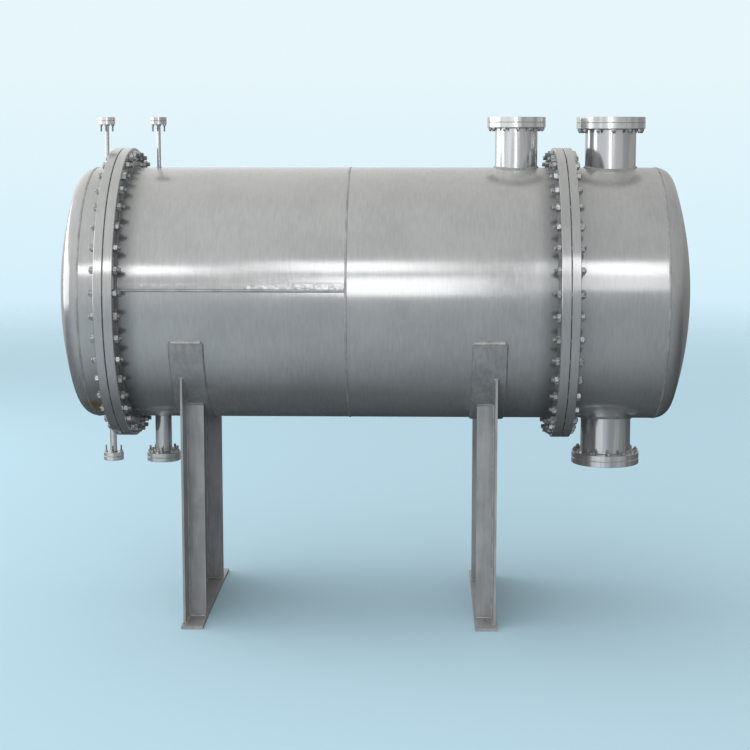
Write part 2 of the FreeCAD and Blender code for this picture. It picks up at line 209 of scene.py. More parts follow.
flangeShade = {                   # painted shade: darker paint on the shell beside the body flanges, where shade falls
    "colour": rgb(0.14, 0.155, 0.155),
    "edges": (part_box("tubesheet_left")[1].x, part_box("tubesheet_right")[0].x),
    "thick": 0.02,                # metres from the edge
    "reach": 0.15,
    "offShell": (0.02, 0.05),     # metres outside the shell where it ends
    "least": 0.6,
    "cloudShare": 0.8,
    "strength": 0.75,
    "rough": 0.05,
}
bonnetBrownPatch = {                   # a brown patch low on the bonnet, beside its flange
    "colour": rgb(0.30, 0.19, 0.03),
    "place": (-1.770, -0.440, 1.382),
    "size": 0.12,
    "solid": 0.6,                 # in sizes
    "gone": 1.5,
    "ragged": {"scale": 26, "detail": 4, "roughness": 0.7},
    "strength": 0.9,
    "rough": 0.3,
}
seamLumps = {                     # hammered plate above the left course's long seam
    "low": axisZ + 0.081,
    "high": axisZ + 0.135,
    "soft": 0.012,                # metres over which it starts at its low edge
    "full": 0.3,                  # share of its height before it fades
    "front": (0.3, 0.6),          # metres before the vessel's middle
    "from": -0.85,                # along X, where it is at its strongest
    "over": 0.2,
    "least": 0.5,
    "lumps": {"scale": 1.0, "detail": 2, "stretch": (22, 22, 32)},
    "height": 0.0046,
    "line": rgb(0.06, 0.065, 0.065),    # painted shadow along the bead
    "lineReach": 0.012,
    "lineCore": 0.4,
    "lineStrength": 0.85,
}
headPoles = {                     # the middle facets of a head take their own flat normals
    "places": [(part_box("bonnet_head")[0].x, 0, axisZ), (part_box("channel_head")[1].x, 0, axisZ)],
    "flat": 0.06,
    "reach": 0.09,
}


# painted shade: how strongly the shell darkens beside a body flange
def flangeShadeMask(finish, edge, cloud, settings):
    gap = abs(finish.part(finish.here(), "x") - edge)
    fromAxis = finish.distance((0, 0, axisZ), (0, 1, 1))
    start, end = settings["offShell"]
    onShell = 1 - finish.ramp(fromAxis, shellRadius + start, shellRadius + end)
    near = 1 - finish.ramp(gap, settings["thick"], settings["reach"])
    return near * (settings["least"] + settings["cloudShare"] * cloud) * onShell


def brownPatchMask(finish, settings):
    size = settings["size"]
    ragged = finish.distance(settings["place"]) + finish.noise(**settings["ragged"]) * size
    return 1 - finish.ramp(ragged, settings["solid"] * size, settings["gone"] * size)


def lumpMasks(finish, settings):  # the hammered band, and the painted shadow line under it
    up = finish.part(finish.here(), "z")
    low, high = settings["low"], settings["high"]
    inFront = finish.ramp(0 - finish.part(finish.here(), "y"), *settings["front"])
    rises = finish.ramp(up, low - settings["soft"], low)
    fades = 1 - finish.ramp(up, low + settings["full"] * (high - low), high)
    along = finish.part(finish.here(), "x")
    grows = finish.ramp(along, settings["from"], settings["from"] + settings["over"])
    band = rises * fades * inFront * (settings["least"] + (1 - settings["least"]) * grows)
    reach = settings["lineReach"]
    line = (1 - finish.ramp(abs(up - low), settings["lineCore"] * reach, reach)) * inFront
    return band, line


def headLie(finish, settings):
    lie = finish.facing()
    for pole in settings["places"]:
        near = 1 - finish.ramp(finish.distance(pole), settings["flat"], settings["reach"])
        facet = finish.node("NewGeometry", output=3)
        lie = finish.node("Mix", {"data_type": "VECTOR"}, {0: near, 4: lie, 5: facet}, output=1)
    return lie


def vesselFinish(name, settings, brownPatch=None, lumps=None, poles=None):
    finish = newFinish(name)
    marks = finish.noise(**settings["marks"])
    cloud = finish.noise(**settings["cloud"])
    tone = finish.ramp(marks * settings["marksShare"] + cloud * settings["cloudShare"], *settings["tone"])
    colour = finish.mix(tone, settings["dark"], settings["light"])
    # dust on upward faces, with a painted warm reflection in its colour
    level = finish.ramp(finish.part(finish.facing(), "z"), settings["dustAndSheenFrom"], 1.0)
    dustAndSheenMix = level * finish.noise(**settings["dustAndSheenNoise"]) * settings["dustAndSheenOnTop"]
    colour = finish.mix(dustAndSheenMix, colour, settings["dustAndSheen"])
    swing = (settings["marksRough"] + settings["cloudRough"]) / 2
    roughness = settings["roughness"] + marks * settings["marksRough"] + cloud * settings["cloudRough"]
    roughness = roughness - swing + dustAndSheenMix * settings["dustRough"]
    metallic = settings["metallic"] - dustAndSheenMix * settings["dustDull"]
    # painted shade beside each body flange
    for edge in flangeShade["edges"]:
        shadeHere = flangeShadeMask(finish, edge, cloud, flangeShade)
        colour = finish.mix(shadeHere * flangeShade["strength"], colour, flangeShade["colour"])
        roughness = roughness + shadeHere * flangeShade["rough"]
    # the brown patch low on the bonnet
    if brownPatch:
        brown = brownPatchMask(finish, brownPatch)
        colour = finish.mix(brown * brownPatch["strength"], colour, brownPatch["colour"])
        roughness = roughness + brown * brownPatch["rough"]
    height = (finish.noise(**settings["waveNoise"]) * settings["waves"] + marks * settings["marksDeep"]
              + finish.noise(**settings["grainNoise"]) * settings["grain"])
    if lumps:
        band, line = lumpMasks(finish, lumps)
        height = height + band * finish.noise(**lumps["lumps"]) * lumps["height"]
        # painted shadow line along the long seam
        colour = finish.mix(line * lumps["lineStrength"], colour, lumps["line"])
    lie = headLie(finish, poles) if poles else finish.facing()
    return finish.paint({"Base Color": colour, "Metallic": metallic, "Roughness": roughness,
                         "Coat Weight": settings["coat"], "Coat Roughness": settings["coatRoughness"],
                         "Normal": finish.bump(height, lie)})


saddlePaint = {
    "light": rgb(0.405, 0.420, 0.428),
    "dark": rgb(0.295, 0.308, 0.316),
    "tone": (0.36, 0.64),
    "runs": {"scale": 1.0, "detail": 4, "roughness": 0.6, "stretch": (42, 42, 3.5)},    # down the plates
    "cloud": {"scale": 5, "roughness": 0.55},
    "metallic": 0.45,
    "roughness": 0.40,
    "rough": 0.12,
    "runsDeep": 0.00025,
    "grain": 0.00018,
    "grainNoise": {"scale": 190, "detail": 2},
    "splash": rgb(0.36, 0.365, 0.35),
    "splashFull": 0.02,           # metres above the floor
    "splashTop": 0.35,
    "splashNoise": {"scale": 14, "detail": 4, "roughness": 0.65},
    "splashStrength": 0.5,
    "splashRough": 0.35,
}


def saddleFinish(name, settings):
    finish = newFinish(name)
    runs = finish.noise(**settings["runs"])
    cloud = finish.noise(**settings["cloud"])
    tone = finish.ramp(runs * 0.5 + cloud * 0.5, *settings["tone"])
    colour = finish.mix(tone, settings["dark"], settings["light"])
    up = finish.part(finish.here(), "z")
    low = 1 - finish.ramp(up, settings["splashFull"], settings["splashTop"])
    splashed = low * finish.noise(**settings["splashNoise"]) * settings["splashStrength"]
    colour = finish.mix(splashed, colour, settings["splash"])
    roughness = (settings["roughness"] + (runs + cloud - 1.0) * settings["rough"]
                 + splashed * settings["splashRough"])
    height = runs * settings["runsDeep"] + finish.noise(**settings["grainNoise"]) * settings["grain"]
    return finish.paint({"Base Color": colour, "Metallic": settings["metallic"], "Roughness": roughness,
                         "Normal": finish.bump(height)})


weldPaint = {
    "light": rgb(0.42, 0.43, 0.43),
    "dark": rgb(0.27, 0.28, 0.28),
    "tone": (0.38, 0.62),
    "spots": {"scale": 130, "roughness": 0.6},
    "cloud": {"scale": 12},
    "metallic": 0.4,
    "roughness": 0.42,
    "spotsRough": 0.2,
    "spatter": 0.0005,
}
shadowedWeldPaint = {                     # painted shade: a darker weld paint behind the body joints' bolts, where shade falls
    **weldPaint,
    "light": rgb(0.24, 0.25, 0.25),
    "dark": rgb(0.12, 0.13, 0.13),
    "metallic": 0.3,
    "roughness": 0.50,
}


def weldFinish(name, settings):
    finish = newFinish(name)
    spots = finish.noise(**settings["spots"])
    cloud = finish.noise(**settings["cloud"])
    tone = finish.ramp(spots * 0.5 + cloud * 0.5, *settings["tone"])
    colour = finish.mix(tone, settings["dark"], settings["light"])
    roughness = settings["roughness"] + spots * settings["spotsRough"] - settings["spotsRough"] / 2
    return finish.paint({"Base Color": colour, "Metallic": settings["metallic"], "Roughness": roughness,
                         "Normal": finish.bump(spots * settings["spatter"])})


boltPaint = {
    "bright": rgb(0.50, 0.515, 0.52),
    "dull": rgb(0.22, 0.235, 0.24),
    "tone": (0.36, 0.58),
    "wear": {"scale": 60, "detail": 4, "roughness": 0.65},
    "metallic": 0.65,
    "roughness": 0.22,
    "wearRough": 0.22,
    "pits": 0.00025,
    "pitNoise": {"scale": 420, "detail": 2},
    "rust": rgb(0.17, 0.115, 0.08),
    "rustFrom": (0.62, 0.74),     # noise that turns to rust
    "rustNoise": {"scale": 34, "detail": 4, "roughness": 0.7},
    "rustStrength": 0.6,
    "rustDull": 0.4,
    "rustRough": 0.3,
}


def boltFinish(name, settings):
    finish = newFinish(name)
    worn = finish.noise(**settings["wear"])
    colour = finish.mix(finish.ramp(worn, *settings["tone"]), settings["dull"], settings["bright"])
    rusty = finish.ramp(finish.noise(**settings["rustNoise"]), *settings["rustFrom"])
    colour = finish.mix(rusty * settings["rustStrength"], colour, settings["rust"])
    metallic = settings["metallic"] - rusty * settings["rustDull"]
    roughness = settings["roughness"] + worn * settings["wearRough"] + rusty * settings["rustRough"]
    height = finish.noise(**settings["pitNoise"]) * settings["pits"]
    return finish.paint({"Base Color": colour, "Metallic": metallic, "Roughness": roughness,
                         "Normal": finish.bump(height)})


gasketSheet = {
    "light": rgb(0.075, 0.075, 0.07),
    "dark": rgb(0.018, 0.018, 0.018),
    "tone": (0.35, 0.65),
    "flakes": {"scale": 90, "detail": 4, "roughness": 0.7},
    "roughness": 0.75,
    "flakesRough": 0.2,
    "fibre": 0.0004,
    "fibreNoise": {"scale": 300, "roughness": 0.6},
}
paintedGasket = {
    **gasketSheet,
    "light": rgb(0.36, 0.36, 0.355),
    "dark": rgb(0.22, 0.22, 0.22),
    "roughness": 0.55,
    "fibre": 0.0003,
}


def gasketFinish(name, settings):
    finish = newFinish(name)
    flakes = finish.noise(**settings["flakes"])
    colour = finish.mix(finish.ramp(flakes, *settings["tone"]), settings["dark"], settings["light"])
    roughness = settings["roughness"] + flakes * settings["flakesRough"] - settings["flakesRough"] / 2
    height = finish.noise(**settings["fibreNoise"]) * settings["fibre"]
    return finish.paint({"Base Color": colour, "Roughness": roughness, "Normal": finish.bump(height)})


neckPaint = {
    "light": rgb(0.74, 0.75, 0.755),
    "dark": rgb(0.53, 0.545, 0.555),
    "tone": (0.38, 0.62),
    "runs": {"scale": 1.0, "stretch": (26, 26, 1.2)},    # drawn pipe, marked along its length
    "levelFrom": (0.5, 0.9),      # how far a face lies flat before the runs fade
    "runsFade": 0.85,
    "metallic": 0.8,
    "roughness": 0.19,
    "runsRough": 0.16,
    "coat": 0.3,
    "coatRoughness": 0.06,
    "draw": 0.0006,
    "grain": 0.00008,
    "grainNoise": {"scale": 170, "detail": 2},
    # dust colour on upward faces, partly a painted warm reflection
    "dustAndSheen": rgb(0.42, 0.40, 0.35),
    "dustAndSheenFrom": 0.6,
    "dustAndSheenNoise": {"scale": 12, "detail": 4, "roughness": 0.6},
    "dustAndSheenOnTop": 0.7,
    "dustRough": 0.5,
}


def neckFinish(name, settings):
    finish = newFinish(name)
    facing = finish.part(finish.facing(), "z")
    level = finish.ramp(abs(facing), *settings["levelFrom"])
    runs = finish.noise(**settings["runs"])
    mark = (runs - 0.5) * (1 - settings["runsFade"] * level) + 0.5
    colour = finish.mix(finish.ramp(mark, *settings["tone"]), settings["dark"], settings["light"])
    # dust on upward faces, with a painted warm reflection in its colour
    upward = finish.ramp(facing, settings["dustAndSheenFrom"], 1.0)
    dustAndSheenMix = upward * finish.noise(**settings["dustAndSheenNoise"]) * settings["dustAndSheenOnTop"]
    colour = finish.mix(dustAndSheenMix, colour, settings["dustAndSheen"])
    roughness = settings["roughness"] + (mark - 0.5) * settings["runsRough"] + dustAndSheenMix * settings["dustRough"]
    height = ((1 - level) * runs * settings["draw"]
              + finish.noise(**settings["grainNoise"]) * settings["grain"])
    return finish.paint({"Base Color": colour, "Metallic": settings["metallic"], "Roughness": roughness,
                         "Coat Weight": settings["coat"], "Coat Roughness": settings["coatRoughness"],
                         "Normal": finish.bump(height)})


finishes = {
    "vessel_paint": vesselFinish("vesselPaint", vesselPaint, brownPatch=bonnetBrownPatch, poles=headPoles),
    "saddle_paint": saddleFinish("saddlePaint", saddlePaint),
    "gasket": gasketFinish("gasketSheet", gasketSheet),
    "bolting": boltFinish("boltPaint", boltPaint),
    "weld": weldFinish("weldPaint", weldPaint),
}
ownFinishes = {                   # pieces that differ from the rest of their kind
    "shell_course_left": vesselFinish("hammeredPaint", vesselPaint, lumps=seamLumps),
    "nozzle_gaskets": gasketFinish("paintedGasket", paintedGasket),
    # painted shade: the body flange welds take the darker weld paint
    "body_flange_welds": weldFinish("shadowedWeldPaint", shadowedWeldPaint),
}
nozzlePieces = ("neck", "flange", "cover")
neckPainted = neckFinish("neckPaint", neckPaint)
for name in nodes:
    owner, _, kind = name.rpartition("_")
    if kind in nozzlePieces and owner + "_neck" in nodes:
        ownFinishes[name] = neckPainted
for name, item in nodes.items():
    for holder in item.material_slots:
        holder.material = ownFinishes.get(name, finishes[holder.material.name])
print("finishes made:", len(finishes) + len(set(ownFinishes.values())))


class Build:  # points and faces gathered for one piece
    def __init__(self):
        self.points = []
        self.faces = []

    def loft(self, rings, closed=False):  # skin from ring to ring; closed runs back to the first, else capped
        size = len(rings[0])
        base = len(self.points)
        for ring in rings:
            self.points.extend(ring)
        spans = len(rings) if closed else len(rings) - 1
        for row in range(spans):
            here = base + row * size
            there = base + (row + 1) % len(rings) * size
            for step in range(size):
                after = (step + 1) % size
                self.faces.append((here + step, here + after, there + after, there + step))
        if not closed:
            self.faces.append(tuple(base + step for step in reversed(range(size))))
            self.faces.append(tuple(base + (len(rings) - 1) * size + step for step in range(size)))

    def piece(self, name, slot, crease=35):
        mesh = bpy.data.meshes.new(name)
        mesh.from_pydata(self.points, [], self.faces)
        shape = bmesh.new()
        shape.from_mesh(mesh)
        bmesh.ops.recalc_face_normals(shape, faces=shape.faces)
        limit = math.radians(crease)
        for face in shape.faces:
            face.smooth = True
        for edge in shape.edges:
            edge.smooth = edge.calc_face_angle(0) < limit
        shape.to_mesh(mesh)
        shape.free()
        mesh.materials.append(ownFinishes.get(name, finishes[slot]))
        item = bpy.data.objects.new(name, mesh)
        bpy.context.scene.collection.objects.link(item)
        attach(item, "root")
        return item


def ringAt(origin, axis, side, along, reach, count, turn):
    other = axis.cross(side)
    ring = []
    for step in range(count):
        angle = turn + math.tau * step / count
        spoke = side * math.cos(angle) + other * math.sin(angle)
        ring.append(origin + axis * along + spoke * reach)
    return ring


bolting = {  # metres
    "M30": {"stud": 0.030, "across": 0.046, "high": 0.0256, "pitch": 0.0035},
    "M20": {"stud": 0.020, "across": 0.030, "high": 0.0180, "pitch": 0.0025},
    "M16": {"stud": 0.016, "across": 0.024, "high": 0.0148, "pitch": 0.0020},
    "M12": {"stud": 0.012, "across": 0.018, "high": 0.0108, "pitch": 0.00175},
}
boltLook = {
    "seed": 7,
    "chamfer": 30,                # degrees
    "face": 0.95,                 # a nut's flat face, in widths across its flats
    "root": 0.6,                  # in pitches under the stud's size
    "crest": 0.05,
    "lead": 0.7,
    "underNut": 0.002,            # metres that the thread runs on into the nut
    "sides": 14,
}
dice = random.Random(boltLook["seed"])


def addNut(build, origin, axis, side, size):
    half = size["across"] / 2
    corner = half / math.cos(math.radians(30))
    face = boltLook["face"] * half
    slope = math.tan(math.radians(boltLook["chamfer"]))
    top = size["high"]
    bore = size["stud"] / 2 - boltLook["root"] * size["pitch"]
    turn = dice.uniform(0, math.tau / 6)
    other = axis.cross(side)
    rings = []
    for cornerAt, cornerReach, flatAt, flatReach in (
            (0, bore, 0, bore),
            (0, face, 0, face),
            ((corner - face) * slope, corner, (half - face) * slope, half),
            (top - (corner - face) * slope, corner, top - (half - face) * slope, half),
            (top, face, top, face),
            (top, bore, top, bore)):
        ring = []
        for step in range(12):    # corner and flat by turns
            angle = turn + math.tau * step / 12
            along, reach = (flatAt, flatReach) if step % 2 else (cornerAt, cornerReach)
            ring.append(origin + axis * along + (side * math.cos(angle) + other * math.sin(angle)) * reach)
        rings.append(ring)
    build.loft(rings, closed=True)


def threadProfile(start, end, radius, pitch):  # crest and root by turns
    count = 2 * max(1, round((end - start) / pitch))
    profile = []
    for step in range(count + 1):
        under = boltLook["root" if step % 2 else "crest"] * pitch
        profile.append((start + (end - start) * step / count, radius - under))
    return profile


def addStud(build, origin, axis, side, size, length, threadStart, threadEnd):
    radius, pitch = size["stud"] / 2, size["pitch"]
    lead = boltLook["lead"] * pitch
    profile = [(0, radius - pitch)]
    if threadStart:
        profile += threadProfile(lead, threadStart, radius, pitch)
    else:
        profile.append((lead, radius))
    if threadEnd:
        profile += threadProfile(length - threadEnd, length - lead, radius, pitch)
    else:
        profile.append((length - lead, radius))
    profile.append((length, radius - pitch))
    turn = dice.uniform(0, math.tau)
    count = boltLook["sides"]
    build.loft([ringAt(origin, axis, side, along, reach, count, turn) for along, reach in profile])


bodyJoints = {
    "circle": 0.895,
    "count": 40,
    "size": "M30",
    "shellSide": 0.046,           # from the plate to the stud's tip
    "coverSide": 0.032,
    "uneven": 0.002,
    "pairs": {"bonnet_joint": ("bonnet_flange", "tubesheet_left"),
              "channel_joint": ("tubesheet_right", "channel_flange")},
}


def boltBodyJoint(name, settings):
    size = bolting[settings["size"]]
    leftNode, rightNode = settings["pairs"][name]
    left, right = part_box(leftNode)[0].x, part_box(rightNode)[1].x
    sides = [settings["shellSide" if node.startswith("tubesheet") else "coverSide"]
             for node in (leftNode, rightNode)]
    bare = [side - size["high"] + boltLook["underNut"] for side in sides]
    studs, nuts = Build(), Build()
    ahead = Vector((1, 0, 0))
    for number in range(settings["count"]):
        angle = math.tau * (number + 0.5) / settings["count"]
        spoke = Vector((0, math.cos(angle), math.sin(angle)))
        centre = Vector((0, 0, axisZ)) + spoke * settings["circle"]
        slide = dice.uniform(-1, 1) * settings["uneven"]
        start = centre + ahead * (left - sides[0] + slide)
        addStud(studs, start, ahead, spoke, size, right - left + sum(sides), bare[0] - slide, bare[1] + slide)
        addNut(nuts, centre + ahead * left, -ahead, spoke, size)
        addNut(nuts, centre + ahead * right, ahead, spoke, size)
    studs.piece(name + "_studs", "bolting")
    nuts.piece(name + "_nuts", "bolting")


for name in bodyJoints["pairs"]:
    boltBodyJoint(name, bodyJoints)

nozzleBolts = {
    "sizes": {11: "M20", 9: "M16", 7: "M12"},    # by the hole's radius in millimetres
    "pastNut": {"M20": 0.010, "M16": 0.009, "M12": 0.034},    # stud beyond the nut, on the flange's back
    "longer": {"shell_outlet": 0.024},
    "flush": 0.0015,              # studs end this far inside the cover's face
}


def boltNozzle(name, mount, settings):
    sizeName = settings["sizes"][round(mount["dims"]["hole_r_mm"])]
    size = bolting[sizeName]
    past = settings["longer"].get(name, settings["pastNut"][sizeName])
    bare = past + boltLook["underNut"]
    standOut = size["high"] + past
    circle = mount["dims"]["pcd_mm"] / 2 * mm
    count = mount["dims"]["count"]
    x, y, coverZ = mount["pos_m"]
    outward = mount["axis"][2]
    flangeLow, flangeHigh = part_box(name + "_flange")
    backZ = flangeLow.z if outward > 0 else flangeHigh.z
    length = standOut + abs(coverZ - backZ) - settings["flush"]
    studs, nuts = Build(), Build()
    axis = Vector((0, 0, outward))
    for number in range(count):
        angle = math.tau * number / count
        spoke = Vector((math.cos(angle), math.sin(angle), 0))
        centre = Vector((x, y, 0)) + spoke * circle
        seat = centre + Vector((0, 0, backZ))
        addStud(studs, seat - axis * standOut, axis, spoke, size, length, bare, 0)
        addNut(nuts, seat, -axis, spoke, size)
    studs.piece(name + "_studs", "bolting")
    nuts.piece(name + "_nuts", "bolting")


nozzleMounts = [mount for mount in frame["record"]["mounts"] if "pcd_mm" in mount["dims"]]
nozzleNames = [mount["name"].removesuffix("_bolts") for mount in nozzleMounts]
for name, mount in zip(nozzleNames, nozzleMounts):
    boltNozzle(name, mount, nozzleBolts)
print("bolted:", len(bodyJoints["pairs"]), "body joints and", len(nozzleNames), "nozzles")

weldShapes = {  # metres
    "long": {"wide": 0.013, "high": 0.0022, "pitch": 0.009},
    "girth": {"wide": 0.015, "high": 0.0028, "pitch": 0.009},
    "headSeam": {"wide": 0.014, "high": 0.0022, "pitch": 0.009},
    "tubesheet": {"leg": 0.012, "pitch": 0.009},
    "flange": {"leg": 0.011, "pitch": 0.009},
    "nozzle": {"leg": 0.011, "pitch": 0.007},
    "smallNozzle": {"leg": 0.006, "pitch": 0.005},
    "collar": {"leg": 0.007, "pitch": 0.006},
    "saddle": {"leg": 0.011, "pitch": 0.008},
    "wearEnd": {"leg": 0.016, "pitch": 0.012},
}
beadLook = {
    "ripple": 0.16,
    "slant": 1.5,                 # how far a ripple bows ahead in its middle
    "wander": 0.10,
    "wanderPaces": (31, 83),      # radians a metre
    "paceShare": 0.6,
    "starts": 6,                  # the most that a wander starts along
    "bulge": 0.16,
    "sink": 0.0004,               # how far a bead's edges lie inside the plate
    "end": 0.45,                  # size at an open end
    "endRings": 2,                # rings until the size is full
    "arcs": 5,
    "steps": 3,                   # rings to each ripple
}


def rippleAt(run, pitch, part):
    return math.sin(math.tau * run / pitch + beadLook["slant"] * math.sin(math.pi * part))


def filletSection(shape, run, wander, ends):  # between two plates
    sink, arcs = beadLook["sink"], beadLook["arcs"]
    leg = shape["leg"] * wander * ends
    section = []
    for step in range(arcs + 1):
        part = step / arcs
        ripple = 1 + 2 * beadLook["ripple"] * rippleAt(run, shape["pitch"], part)
        swell = beadLook["bulge"] * leg * math.sin(math.pi * part) * ripple / math.sqrt(2)
        section.append((leg * (1 - part) + swell - sink * (step == arcs),
                        leg * part + swell - sink * (step == 0)))
    return section + [(-sink, -sink)]


def capSection(shape, run, wander, ends):  # on a butt seam
    sink, arcs = beadLook["sink"], beadLook["arcs"]
    half = shape["wide"] / 2 * wander * ends
    section = []
    for step in range(arcs + 1):
        part = step / arcs
        ripple = 1 + beadLook["ripple"] * rippleAt(run, shape["pitch"], part)
        high = shape["high"] * math.sin(math.pi * part) * ends * ripple
        section.append((-half * math.cos(math.pi * part), high - sink * (step in (0, arcs))))
    return section + [(0.0, -2 * sink)]


def bead(build, path, shape, closed=False):  # a weld along a path of (point, first side, second side)
    phase = dice.uniform(0, beadLook["starts"])
    drift = dice.uniform(0, beadLook["starts"])
    slow, quick = beadLook["wanderPaces"]
    share, least = beadLook["paceShare"], beadLook["end"]
    crossSection = filletSection if "leg" in shape else capSection
    rings = []
    run = 0.0
    for number, (point, first, second) in enumerate(path):
        if number:
            run += (point - path[number - 1][0]).length
        sway = math.sin(run * slow + phase) + share * math.sin(run * quick + drift)
        wander = 1 + beadLook["wander"] * sway / (1 + share)
        toEnd = math.inf if closed else min(number, len(path) - 1 - number)
        ends = min(1.0, least + (1 - least) * toEnd / beadLook["endRings"])
        rings.append([point + first * a + second * b for a, b in crossSection(shape, run, wander, ends)])
    build.loft(rings, closed)


def turns(reach, pitch):  # evenly spaced angles once round a circle
    count = math.ceil(math.tau * reach / pitch) * beadLook["steps"]
    return [math.tau * step / count for step in range(count)]


def stepsAlong(length, pitch):
    return math.ceil(length / pitch * beadLook["steps"])


def hoop(build, x, reach, shape, side=None):
    # a weld round the vessel: a cap on a butt seam, or a fillet that leans on the plate behind it
    first = Vector((side or 1, 0, 0))
    path = []
    for angle in turns(reach, shape["pitch"]):
        spoke = Vector((0, math.cos(angle), math.sin(angle)))
        path.append((Vector((x, 0, axisZ)) + spoke * reach, first, spoke))
    bead(build, path, shape, closed=True)


def straight(build, start, end, first, second, shape):
    count = max(4, stepsAlong((end - start).length, shape["pitch"]))
    bead(build, [(start.lerp(end, step / count), first, second) for step in range(count + 1)], shape)


def nozzleFoot(build, x, reach, outward, shape):  # where a pipe leaves the round shell
    path = []
    for angle in turns(reach, shape["pitch"]):
        spoke = Vector((math.cos(angle), math.sin(angle), 0))
        rise = outward * math.sqrt(shellRadius ** 2 - (reach * spoke.y) ** 2)
        square = Vector((0, reach * spoke.y, rise)).normalized()    # straight out of the shell
        lying = (spoke - square * spoke.dot(square)).normalized()
        foot = Vector((x, reach * spoke.y, axisZ + rise)) + Vector((reach * spoke.x, 0, 0))
        path.append((foot, lying, Vector((0, 0, outward))))
    bead(build, path, shape, closed=True)


def collar(build, x, z, reach, toward, shape):  # where a pipe meets its flange
    path = []
    for angle in turns(reach, shape["pitch"]):
        spoke = Vector((math.cos(angle), math.sin(angle), 0))
        path.append((Vector((x, 0, z)) + spoke * reach, spoke, Vector((0, 0, toward))))
    bead(build, path, shape, closed=True)


def vesselWelds():
    seams = Build()
    hoop(seams, girthX, shellRadius, weldShapes["girth"])
    hoop(seams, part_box("bonnet_barrel")[0].x, shellRadius, weldShapes["headSeam"])
    hoop(seams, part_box("channel_barrel")[1].x, shellRadius, weldShapes["headSeam"])
    seams.piece("round_seams", "weld")
    joints = Build()
    hoop(joints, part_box("tubesheet_left")[1].x, shellRadius, weldShapes["tubesheet"], 1)
    hoop(joints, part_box("tubesheet_right")[0].x, shellRadius, weldShapes["tubesheet"], -1)
    hoop(joints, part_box("bonnet_flange")[0].x, shellRadius, weldShapes["flange"], -1)
    hoop(joints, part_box("channel_flange")[1].x, shellRadius, weldShapes["flange"], 1)
    joints.piece("body_flange_welds", "weld")


longSeams = {  # degrees up from the front
    "shell_course_left": 5.7,
    "shell_course_right": 131,
    "bonnet_barrel": 150,
    "channel_barrel": 147,
}


def longWelds(settings):
    seams = Build()
    shape = weldShapes["long"]
    for node, degrees in settings.items():
        low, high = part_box(node)
        count = stepsAlong(high.x - low.x, shape["pitch"])
        angle = math.radians(degrees)
        spoke = Vector((0, -math.cos(angle), math.sin(angle)))
        around = Vector((0, math.sin(angle), math.cos(angle)))
        path = []
        for step in range(count + 1):
            middle = Vector((low.x + (high.x - low.x) * (step / count), 0, axisZ))
            path.append((middle + spoke * shellRadius, around, spoke))
        bead(seams, path, shape)
    seams.piece("long_seams", "weld")


smallPipe = 0.06                  # metres of radius, under which a nozzle's welds are small


def nozzleWelds(names):
    for name in names:
        welds = Build()
        low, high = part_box(name + "_neck")
        reach, x = (high.x - low.x) / 2, (low.x + high.x) / 2
        outward = 1 if high.z > axisZ else -1
        small = reach < smallPipe
        nozzleFoot(welds, x, reach, outward, weldShapes["smallNozzle" if small else "nozzle"])
        flangeZ = high.z if outward > 0 else low.z
        collar(welds, x, flangeZ, reach, -outward, weldShapes["smallNozzle" if small else "collar"])
        welds.piece(name + "_welds", "weld")


def middleAt(x):
    return Vector((x, 0, axisZ))


def spokeAt(angle):  # from the vessel's middle, the angle from straight down
    return Vector((0, math.sin(angle), -math.cos(angle)))


def tangentAt(angle):
    return Vector((0, math.cos(angle), math.sin(angle)))


def arcWeld(build, x, reach, limit, first, shape):  # under the vessel, as far to each side as the limit
    count = stepsAlong(2 * limit * reach, shape["pitch"])
    path = []
    for step in range(count + 1):
        spoke = spokeAt(-limit + 2 * limit * step / count)
        path.append((middleAt(x) + spoke * reach, first, spoke))
    bead(build, path, shape)


def saddleWelds(side, outer):  # outer is the way from the vessel's middle to this saddle, along X
    shape = weldShapes["saddle"]
    welds = Build()
    wearLow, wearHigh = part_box("wear_plate_" + side)
    webLow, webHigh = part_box("saddle_web_" + side)
    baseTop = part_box("base_plate_" + side)[1].z
    wearRadius = axisZ - wearLow.z
    ahead, up = Vector((1, 0, 0)), Vector((0, 0, 1))
    wrap = math.atan2(wearHigh.y, axisZ - wearHigh.z)    # half of what the wear plate wraps
    arcWeld(welds, wearLow.x, shellRadius, wrap, -ahead, shape)
    arcWeld(welds, wearHigh.x, shellRadius, wrap, ahead, shape)
    for way in (-1, 1):
        spoke = spokeAt(wrap * way)
        start, end = (middleAt(x) + spoke * shellRadius for x in (wearLow.x, wearHigh.x))
        straight(welds, start, end, tangentAt(wrap * way) * way, spoke, weldShapes["wearEnd"])
    webLimit = math.asin(webHigh.y / wearRadius)
    arcWeld(welds, webLow.x, wearRadius, webLimit, -ahead, shape)
    arcWeld(welds, webHigh.x, wearRadius, webLimit, ahead, shape)
    half = webHigh.y
    for x, first in ((webLow.x, -ahead), (webHigh.x, ahead)):
        straight(welds, Vector((x, -half, baseTop)), Vector((x, half, baseTop)), first, up, shape)
    for place in ("front", "back"):
        ribLow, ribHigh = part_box("saddle_rib_" + place + "_" + side)
        webFace = ribHigh.x if outer > 0 else ribLow.x
        for y, way in ((ribLow.y, -1), (ribHigh.y, 1)):
            sideways = Vector((0, way, 0))
            top = axisZ - math.sqrt(wearRadius ** 2 - y ** 2)
            awayFromRib = Vector((0, axisZ - top, y)).normalized() * way    # along the wear plate
            foot, head = Vector((webFace, y, baseTop)), Vector((webFace, y, top))
            straight(welds, foot, head, ahead * -outer, sideways, shape)
            for z, first, second in ((baseTop, sideways, up), (top, awayFromRib, -up)):
                straight(welds, Vector((ribLow.x, y, z)), Vector((ribHigh.x, y, z)), first, second, shape)
    welds.piece("saddle_welds_" + side, "weld")


vesselWelds()
longWelds(longSeams)
nozzleWelds(nozzleNames)
saddleWelds("left", -1)
saddleWelds("right", 1)
print("welds laid")


